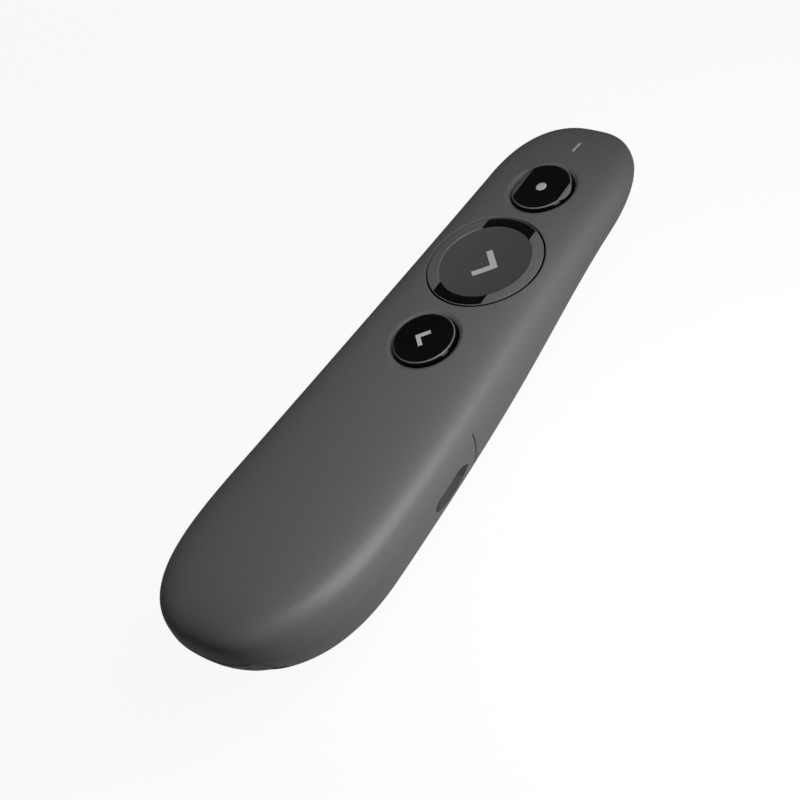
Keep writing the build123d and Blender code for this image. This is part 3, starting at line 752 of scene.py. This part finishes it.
def accent_mesh(form, side):
    """Gloss inlay that fills one pocket of the ring, flush with it."""
    b = bpy.context.scene.clicker_buttons
    slack, columns, floor_gap = 0.03 * MM, 36, 0.03 * MM
    inner_r, outer_r = b.next_dish + slack, b.next_cap - b.accent_margin - slack
    half = b.accent_half_width - slack
    round_over = ((0.0, 0.06), (0.02, 0.015), (0.06, 0.0))
    radii = in_mm(round_over, inner_r) + in_mm([(10.2, 0.0), (10.8, 0.0)])
    radii += in_mm([(-out, drop) for out, drop in reversed(round_over)], outer_r)
    skin = Skin()
    top, bottom = [], []
    for radius, drop in radii:
        turn = math.asin(half / radius)
        angles = side * np.linspace(math.pi / 2 - turn, math.pi / 2 + turn, columns + 1)
        x = radius * np.cos(angles)
        y = b.next_place + radius * np.sin(angles)
        z = form.crown_height(x, y)
        top.append(skin.add(np.stack([x, y, z - drop], axis=-1)))
        bottom.append(skin.add(np.stack([x, y, z - b.accent_depth + floor_gap], axis=-1)))
    skin.grid(np.array(top))
    skin.grid(np.array(bottom))
    skin.strip(top[0], bottom[0])
    skin.strip(top[-1], bottom[-1])
    for k in (0, -1):
        skin.strip([line[k] for line in top], [line[k] for line in bottom])
    return skin


# ---- materials ----
def add(tree, kind, inputs=None, **settings):
    """Adds a node with its settings; an input is a value or the output that feeds it."""
    made = tree.nodes.new(kind)
    for key, value in settings.items():
        setattr(made, key, value)
    for key, value in (inputs or {}).items():
        if isinstance(value, bpy.types.NodeSocket):
            tree.links.new(value, made.inputs[key])
        else:
            made.inputs[key].default_value = value
    return made


def blank_tree(owner):
    """The emptied node tree of a material or a world."""
    owner.use_nodes = True
    owner.node_tree.nodes.clear()
    return owner.node_tree


def opaque(rgb):
    return (*rgb, 1.0)


# Each pattern's node, the inputs that are its own, and the output that it is read from
PATTERNS = {
    "noise": ("ShaderNodeTexNoise", {"Detail": 3.0}, "Fac"),
    "weave": ("ShaderNodeTexBrick", {"Mortar Size": 0.08}, "Fac"),
    "cells": ("ShaderNodeTexVoronoi", {}, "Distance"),
}
PATTERN_RANGE = {"From Min": 0.3, "From Max": 0.7, "To Min": -1.0}


def finish(name, colour, grain, shade, gloss, bump, shader, stretch=(1, 1, 1), pattern="noise"):
    """A procedural finish: one pattern in object space drives shade, roughness and relief.

    colour is a code, or the name of one of the colours above. grain is the pattern's cell in
    millimetres, stretched per axis. shade and gloss are how far it moves the colour and the
    roughness, bump its relief in millimetres. Uniform values go on the shader's own sockets.
    """
    colours = bpy.context.scene.clicker_colours
    rgb = srgb_to_linear(colour) if colour.startswith("#") else getattr(colours, colour)
    material = bpy.data.materials.new(name)
    tree = blank_tree(material)
    coords = add(tree, "ShaderNodeTexCoord")
    scale = tuple(1 / (grain * MM * s) for s in stretch)
    spot = add(tree, "ShaderNodeMapping", {"Vector": coords.outputs["Object"], "Scale": scale})
    kind, own, output = PATTERNS[pattern]
    field = add(tree, kind, {"Vector": spot.outputs[0], "Scale": 1.0} | own).outputs[output]
    level = add(tree, "ShaderNodeMapRange", {"Value": field} | PATTERN_RANGE).outputs[0]
    tone = add(tree, "ShaderNodeMath", {0: level, 1: shade, 2: 1.0}, operation="MULTIPLY_ADD")
    mixed = {0: 1.0, 6: opaque(rgb), 7: tone.outputs[0]}
    tint = add(tree, "ShaderNodeMix", mixed, data_type="RGBA", blend_type="MULTIPLY")
    moved = {0: level, 1: gloss, 2: shader["Roughness"]}
    rough = add(tree, "ShaderNodeMath", moved, operation="MULTIPLY_ADD")
    relief = add(tree, "ShaderNodeBump", {"Height": field, "Strength": 1.0, "Distance": bump * MM})
    driven = {"Base Color": tint.outputs[2], "Roughness": rough.outputs[0]}
    driven["Normal"] = relief.outputs[0]
    surface = add(tree, "ShaderNodeBsdfPrincipled", shader | driven)
    add(tree, "ShaderNodeOutputMaterial", {"Surface": surface.outputs[0]})
    return material


FINISHES = {
    # ABS moulded in a spark-eroded tool: an even satin pebble that blurs every reflection. Its real
    # grain is about 0.1 mm, drawn three times coarser so that it shows.
    "spark_textured_abs": dict(
        colour="shell", grain=0.3, shade=0.07, gloss=0.03, bump=0.005,
        shader={"Roughness": 0.46, "Specular IOR Level": 0.3, "IOR": 1.53},
    ),
    # The same ABS from a finer part of the tool: tighter grain and hardly a sheen, so it looks
    # darker.
    "fine_textured_abs": dict(
        colour="dish", grain=0.2, shade=0.04, gloss=0.02, bump=0.002,
        shader={"Roughness": 0.62, "Specular IOR Level": 0.1, "IOR": 1.53},
    ),
    # ABS under a finger, moulded rougher and left unpolished between its ribs: dull and grippy. Its
    # dark tone is painted shade of the recessed scoop.
    "ribbed_grip_painted_shade": dict(
        colour="grip", grain=0.25, shade=0.12, gloss=0.03, bump=0.008,
        shader={"Roughness": 0.6, "Specular IOR Level": 0.15, "IOR": 1.53},
    ),
    # Polycarbonate dyed through and moulded in a mirror-polished tool: deep black with a clean
    # gloss, broken only by a faint waviness.
    "polished_black_polycarbonate": dict(
        colour="gloss", grain=2.5, shade=0.05, gloss=0.02, bump=0.0002,
        shader={"Roughness": 0.12, "Specular IOR Level": 0.08, "IOR": 1.58},
    ),
    # Pad-printed two-part ink: flat, slightly chalky, with a screen's faint mottle.
    "pad_printed_ink": dict(
        colour="symbol", grain=0.25, shade=0.05, gloss=0.04, bump=0.001,
        shader={"Roughness": 0.5, "Specular IOR Level": 0.2, "IOR": 1.5},
    ),
    # Glass-filled nylon, injection moulded: matte black with short pale fibre flow marks along
    # the body.
    # Along the top of each finger scoop this black is painted shade under the lip.
    "glass_filled_nylon_and_scoop_shade": dict(
        colour="#262628", grain=0.3, stretch=(1, 4, 1), shade=0.16, gloss=0.06, bump=0.006,
        shader={"Roughness": 0.6, "Specular IOR Level": 0.3, "IOR": 1.53},
    ),
    # Glass cloth laminate under green solder mask: the cloth's 0.5 mm weave shows through it.
    "solder_masked_laminate": dict(
        colour="#1d5a34", grain=0.5, pattern="weave", shade=0.1, gloss=0.05, bump=0.004,
        shader={"Roughness": 0.32, "Coat Weight": 0.4, "Coat Roughness": 0.15},
    ),
    # Stamped stainless sheet of the tact switches: fine rolling lines across a soft shine.
    "rolled_stainless": dict(
        colour="#b4b5b6", grain=0.08, stretch=(1, 14, 1), shade=0.06, gloss=0.08, bump=0.001,
        shader={"Roughness": 0.32, "Metallic": 1.0},
    ),
    # Spring steel and screws, nickel plated: a warm bright shine with a faint plating mottle.
    "nickel_plate": dict(
        colour="#c3bdb2", grain=0.4, shade=0.05, gloss=0.06, bump=0.001,
        shader={"Roughness": 0.2, "Metallic": 1.0},
    ),
    # Brass turned on a lathe: tool rings about 0.15 mm apart round the pointer's barrel.
    "turned_brass": dict(
        colour="#c9a25a", grain=0.15, stretch=(40, 1, 40), shade=0.07, gloss=0.06, bump=0.002,
        shader={"Roughness": 0.25, "Metallic": 1.0},
    ),
    # Epoxy moulding compound of the radio chip: dead matte charcoal with pale silica specks.
    "epoxy_compound": dict(
        colour="#2b2b2d", grain=0.12, pattern="cells", shade=0.18, gloss=0.05, bump=0.002,
        shader={"Roughness": 0.7, "Specular IOR Level": 0.3},
    ),
    # Clear epoxy over a pale lamp cup: milky and slightly waxy, as light spreads under its skin.
    "led_epoxy": dict(
        colour="#e6e4da", grain=0.6, shade=0.03, gloss=0.04, bump=0.001,
        shader={"Roughness": 0.3, "Subsurface Weight": 0.4, "Subsurface Scale": 0.0005},
    ),
    # Acrylic moulded against a blasted insert: a pale frost that dims what lies behind it.
    "frosted_acrylic": dict(
        colour="#c4c5c6", grain=0.2, shade=0.04, gloss=0.05, bump=0.002,
        shader={"Roughness": 0.45, "IOR": 1.49, "Transmission Weight": 0.25},
    ),
    # Plain plastic sleeve shrunk over the cell's steel can: silvery film with fine cross wrinkles.
    "shrink_sleeve": dict(
        colour="#7f8388", grain=0.5, stretch=(1, 0.4, 1), shade=0.05, gloss=0.06, bump=0.006,
        shader={"Roughness": 0.3, "Metallic": 0.55},
    ),
}
NODE_FINISHES = {
    "solder_masked_laminate": ["circuit_board"],
    "rolled_stainless": ["laser_switch", "next_switch", "back_switch", "power_switch"],
    "nickel_plate": [
        "crystal", "front_contacts", "rear_contacts", "receiver_plug", "housing_screws",
    ],
    "turned_brass": ["laser_module"],
    "epoxy_compound": ["radio_chip"],
    "led_epoxy": ["status_led"],
    "frosted_acrylic": ["light_pipe", "laser_window"],
    "shrink_sleeve": ["battery_left", "battery_right"],
}


def finish_of(name):
    """The named finish, made once."""
    return bpy.data.materials.get(name) or finish(name, **FINISHES[name])


# ---- operators ----
class CLICKER_OT_top_housing(bpy.types.Operator):
    """Build the crown shell with its wells and status slot"""

    bl_idname = "clicker.top_housing"
    bl_label = "Top housing"

    def execute(self, context):
        piece = top_housing_mesh(Form()).object("crown_shell")
        place(piece, "housing", ["spark_textured_abs"], ["top_housing"])
        return {"FINISHED"}


class CLICKER_OT_lower_housing(bpy.types.Operator):
    """Build the nose shell of the belly"""

    bl_idname = "clicker.lower_housing"
    bl_label = "Lower housing"

    def execute(self, context):
        form = Form()
        open_y = form.sizes.door_front + form.sizes.door_slit
        gap, chamfer = 0.008 * MM, 0.008 * MM
        piece = belly_shell(form, open_y, 1, gap, chamfer, form.sizes.wall).object("nose_shell")
        parting = form.sizes.parting_height
        slide_low, slide_high = (4.1 * MM, parting - 5.0 * MM), (12.1 * MM, parting - 1.8 * MM)
        slide = rectangle(slide_low, slide_high)
        carve(piece, prism("slide_window", slide, -30 * MM, -12 * MM, 0))
        lens_drop, lens_radius = 3.9 * MM, 1.42 * MM
        lens = circle((0, parting - lens_drop), lens_radius)
        carve(piece, prism("lens_hole", lens, 55 * MM, 75 * MM, 1))
        place(piece, "housing", ["spark_textured_abs"], ["lower_housing"])
        return {"FINISHED"}


class CLICKER_OT_battery_door(bpy.types.Operator):
    """Build the battery door with its finger scoops, and the receiver's grip in its notch"""

    bl_idname = "clicker.battery_door"
    bl_label = "Battery door"

    def execute(self, context):
        form = Form()
        s = form.sizes
        wall, gap, chamfer, tail_chamfer = s.wall + 0.1 * MM, 0.03 * MM, 0.05 * MM, 0.15 * MM
        shell = belly_shell(form, s.door_front, -1, gap, chamfer, wall, tail_chamfer)
        piece = shell.object("door_shell")
        piece.data.materials.append(finish_of("spark_textured_abs"))
        low, high = s.parting_height - 4.3 * MM, s.parting_height + 8 * MM
        half = s.grip_half_width + 0.3 * MM
        notch = rectangle((-half, -80 * MM), (half, -61.7 * MM))
        carve(piece, prism("notch", notch, low, high, 2))
        carve(piece, relief_cutter(form))
        # A plain recess whose black band is painted shade under the scoop's lip, then a ribbed one
        # a little deeper inside its border, darkened by painted shade
        border, rib_depth = 1.7 * MM, 0.07 * MM
        cuts = (
            (0.0, s.scoop_face + 0.05 * MM, 0.0, "glass_filled_nylon_and_scoop_shade"),
            (border, s.scoop_face - 0.25 * MM, rib_depth, "ribbed_grip_painted_shade"),
        )
        for side in (-1, 1):
            scoops = [(scoop_cutter(form, side, *cut), name) for *cut, name in cuts]
            for scoop, name in scoops:
                scoop.data.materials.clear()
                scoop.data.materials.append(finish_of(name))
                carve(piece, scoop)
        finishes = ["spark_textured_abs"] + [name for *_, name in cuts]
        place(piece, "battery_door", finishes, ["battery_door"])
        grip = grip_mesh(form).object("receiver_grip")
        place(grip, "receiver", ["spark_textured_abs"], ["receiver_body"])
        return {"FINISHED"}


class CLICKER_OT_small_buttons(bpy.types.Operator):
    """Build the pointer and back buttons with their symbols"""

    bl_idname = "clicker.small_buttons"
    bl_label = "Small buttons"

    def execute(self, context):
        form = Form()
        b = context.scene.clicker_buttons
        # The second finish lies on the caps' bevels as painted highlight, and on the pointer cap's
        # facets.
        finishes = ["polished_black_polycarbonate", "spark_textured_abs"]

        profile, top = small_cap_profile(form, b.laser_place)
        cap = revolved(profile, b.laser_place, 144, BEVEL_HIGHLIGHT_STEPS).object("pointer_cap")
        for facet_x, facet_tilt in ((-4.3 * MM, -28), (5.45 * MM, 32)):
            slice_cap(cap, (facet_x, b.laser_place, top), math.radians(facet_tilt))
        place(cap, "laser_button", finishes, ["laser_button"])
        disc = [(0, 0.02), (0.6, 0.02), (1.06, 0.02), (1.12, -0.02), (1.12, -0.2), (0, -0.2)]
        dot = revolved(in_mm(disc, 0.0, top - CAP_SAG), b.laser_place, 64).object("pointer_dot")
        place(dot, "laser_button", ["pad_printed_ink"], ["laser_dot"])

        profile, top = small_cap_profile(form, b.back_place)
        cap = revolved(profile, b.back_place, 144, BEVEL_HIGHLIGHT_STEPS).object("back_cap")
        place(cap, "back_button", finishes, ["back_button"])

        def cap_height(x, y):
            return top - CAP_SAG + (x**2 + (y - b.back_place) ** 2) / (2 * CAP_SPHERE)

        corner, arm, thickness = (-2.0 * MM, b.back_place), 2.16 * MM, 0.88 * MM
        mark = chevron_mesh(corner, arm, thickness, -1, cap_height).object("back_arrow")
        place(mark, "back_button", ["pad_printed_ink"], ["back_chevron"])
        return {"FINISHED"}


def slice_cap(cap, point, tilt):
    """Cuts a flat facet on a cap. The facet leans outwards by tilt about Y."""
    normal = Vector((math.sin(tilt), 0, math.cos(tilt)))
    bm = bmesh.new()
    bm.from_mesh(cap.data)
    geometry = bm.verts[:] + bm.edges[:] + bm.faces[:]
    cut = bmesh.ops.bisect_plane(
        bm, geom=geometry, plane_co=point, plane_no=normal, clear_outer=True, dist=1e-7
    )
    edges = [e for e in cut["geom_cut"] if isinstance(e, bmesh.types.BMEdge)]
    for face in bmesh.ops.contextual_create(bm, geom=edges)["faces"]:
        face.material_index = 1
    bm.to_mesh(cap.data)
    bm.free()
    tidy_mesh(cap.data)


class CLICKER_OT_next_button(bpy.types.Operator):
    """Build the big forward button with its gloss accents and symbol"""

    bl_idname = "clicker.next_button"
    bl_label = "Forward button"

    def execute(self, context):
        form = Form()
        b = context.scene.clicker_buttons
        disc = next_button_mesh(form).object("forward_disc")
        gloss = "polished_black_polycarbonate"
        # The gloss black also lines the disc's side wall as painted shade in the gap round the
        # button.
        finishes = ["spark_textured_abs", "fine_textured_abs", gloss]
        place(disc, "next_button", finishes, ["next_button"])
        for name, side in (("accent_front", 1), ("accent_rear", -1)):
            accent = accent_mesh(form, side).object(name)
            place(accent, "next_button", [gloss], ["next_accents"])
        corner, arm, thickness = (2.82 * MM, b.next_place), 3.68 * MM, 1.3 * MM
        mark = chevron_mesh(corner, arm, thickness, 1, dish_height(form)).object("forward_arrow")
        place(mark, "next_button", ["pad_printed_ink"], ["next_chevron"])
        return {"FINISHED"}


class CLICKER_OT_node_finishes(bpy.types.Operator):
    """Give every other piece of the frame its finish"""

    bl_idname = "clicker.node_finishes"
    bl_label = "Finishes inside"

    def execute(self, context):
        slots = {node: name for name, nodes in NODE_FINISHES.items() for node in nodes}
        for name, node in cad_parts.items():
            node.data.materials.clear()
            node.data.materials.append(finish_of(slots.get(name, "glass_filled_nylon_and_scoop_shade")))
        return {"FINISHED"}


class CLICKER_OT_stage(bpy.types.Operator):
    """Set the floor, the lights, the background and the camera"""

    bl_idname = "clicker.stage"
    bl_label = "Stage"

    def execute(self, context):
        scene = context.scene
        add_floor()
        add_lamp("side_box", location=(0.115, 0.004, 0.1), size=(0.06, 0.18), watts=0.34)
        set_world()
        add_camera()
        scene.view_settings.view_transform = "Standard"
        return {"FINISHED"}


def add_floor():
    """Pale board that the camera sees as nearly white but for the object's faint shadow."""
    half, white_share, bounce = 1.5, 0.93, 0.3
    skin = Skin()
    corners = rectangle((-half, -half), (half, half))
    skin.face(skin.add(np.insert(corners, 2, 0.0, axis=1)))
    floor = skin.object("studio_floor")
    material = bpy.data.materials.new("painted_board")
    tree = blank_tree(material)
    seen = seen_share(tree)
    rgb = bpy.context.scene.clicker_colours.floor
    colours = {0: seen, 6: opaque([v * bounce for v in rgb]), 7: opaque(rgb)}
    shown = add(tree, "ShaderNodeMix", colours, data_type="RGBA")
    board = add(tree, "ShaderNodeBsdfDiffuse", {"Color": shown.outputs[2]})
    glow = add(tree, "ShaderNodeEmission", {"Color": opaque((1, 1, 1)), "Strength": 1.0})
    share = add(tree, "ShaderNodeMath", {0: seen, 1: white_share}, operation="MULTIPLY")
    surfaces = {0: share.outputs[0], 1: board.outputs[0], 2: glow.outputs[0]}
    mix = add(tree, "ShaderNodeMixShader", surfaces)
    add(tree, "ShaderNodeOutputMaterial", {"Surface": mix.outputs[0]})
    floor.data.materials.append(material)


def seen_share(tree):
    """How much a ray sees of the white surroundings: all from the camera and through a clear
    piece, and a dim grey in reflections, where full white would veil the dark shell."""
    mirrored_share = 0.18
    light = add(tree, "ShaderNodeLightPath").outputs
    reflected = {0: light["Is Glossy Ray"], 1: mirrored_share}
    gloss = add(tree, "ShaderNodeMath", reflected, operation="MULTIPLY").outputs[0]
    seen = light["Is Camera Ray"]
    for other in (light["Is Transmission Ray"], gloss):
        seen = add(tree, "ShaderNodeMath", {0: seen, 1: other}, operation="MAXIMUM").outputs[0]
    return seen


def add_lamp(name, location, size, watts):
    lamp = bpy.data.lights.new(name, "AREA")
    lamp.shape = "RECTANGLE"
    lamp.size, lamp.size_y = size
    lamp.energy = watts
    holder = bpy.data.objects.new(name, lamp)
    holder.visible_camera = False
    holder.location = location
    holder.rotation_euler = Vector(location).to_track_quat("Z", "Y").to_euler()
    bpy.context.scene.collection.objects.link(holder)


def set_world():
    """Pale surroundings: white to the camera, dim in reflections, and weaker still as a light."""
    lighting, seen = 0.06, 1.0      # strength as a light, and where it is seen
    world = bpy.data.worlds.new("studio")
    bpy.context.scene.world = world
    tree = blank_tree(world)
    levels = {"Value": seen_share(tree), "To Min": lighting, "To Max": seen}
    strength = add(tree, "ShaderNodeMapRange", levels).outputs[0]
    glow = add(tree, "ShaderNodeBackground", {"Color": opaque((1, 1, 1)), "Strength": strength})
    add(tree, "ShaderNodeOutputWorld", {"Surface": glow.outputs[0]})


def add_camera():
    azimuth, elevation, roll = (math.radians(v) for v in (53.448, 44.776, -25.645))
    distance, aim = 320 * MM, Vector((0, 0, 21 * MM))
    frame_pixels, focal_pixels = 800, 1683.3
    centre_px, centre_py = 419.39, 374.44
    back = Vector(
        (
            math.sin(azimuth) * math.cos(elevation),
            -math.cos(azimuth) * math.cos(elevation),
            math.sin(elevation),
        )
    )
    right = Vector((math.cos(azimuth), math.sin(azimuth), 0))
    up = back.cross(right)
    turned_right = math.cos(roll) * right + math.sin(roll) * up
    turned_up = -math.sin(roll) * right + math.cos(roll) * up
    lens = bpy.data.cameras.new("camera")
    lens.sensor_width = 36
    lens.lens = lens.sensor_width * focal_pixels / frame_pixels
    lens.shift_x = (frame_pixels / 2 - centre_px) / frame_pixels
    lens.shift_y = (centre_py - frame_pixels / 2) / frame_pixels
    lens.clip_start, lens.clip_end = 0.01, 10
    camera = bpy.data.objects.new("camera", lens)
    turn = Matrix((turned_right, turned_up, back)).transposed()
    camera.matrix_world = Matrix.Translation(aim + back * distance) @ turn.to_4x4()
    bpy.context.scene.collection.objects.link(camera)
    bpy.context.scene.camera = camera


class CLICKER_PT_panel(bpy.types.Panel):
    """Lists the steps that build the clicker"""

    bl_idname = "CLICKER_PT_panel"
    bl_label = "Presentation clicker"
    bl_space_type = "VIEW_3D"
    bl_region_type = "UI"
    bl_category = "Clicker"

    def draw(self, context):
        for operator in OPERATORS:
            self.layout.operator(operator.bl_idname)


OPERATORS = (
    CLICKER_OT_top_housing,
    CLICKER_OT_lower_housing,
    CLICKER_OT_battery_door,
    CLICKER_OT_small_buttons,
    CLICKER_OT_next_button,
    CLICKER_OT_node_finishes,
    CLICKER_OT_stage,
)
GROUPS = {
    "clicker_housing": HousingSizes,
    "clicker_buttons": ButtonSizes,
    "clicker_colours": FinishColours,
}


def register():
    for group in GROUPS.values():
        bpy.utils.register_class(group)
    for name, group in GROUPS.items():
        setattr(bpy.types.Scene, name, PointerProperty(type=group))
    for operator in OPERATORS:
        bpy.utils.register_class(operator)
    bpy.utils.register_class(CLICKER_PT_panel)


def unregister():
    bpy.utils.unregister_class(CLICKER_PT_panel)
    for operator in reversed(OPERATORS):
        bpy.utils.unregister_class(operator)
    for name, group in GROUPS.items():
        delattr(bpy.types.Scene, name)
        bpy.utils.unregister_class(group)


def main():
    register()
    bpy.ops.clicker.top_housing()
    bpy.ops.clicker.lower_housing()
    bpy.ops.clicker.battery_door()
    bpy.ops.clicker.small_buttons()
    bpy.ops.clicker.next_button()
    bpy.ops.clicker.node_finishes()
    bpy.ops.clicker.stage()


if __name__ == "__main__":
    main()
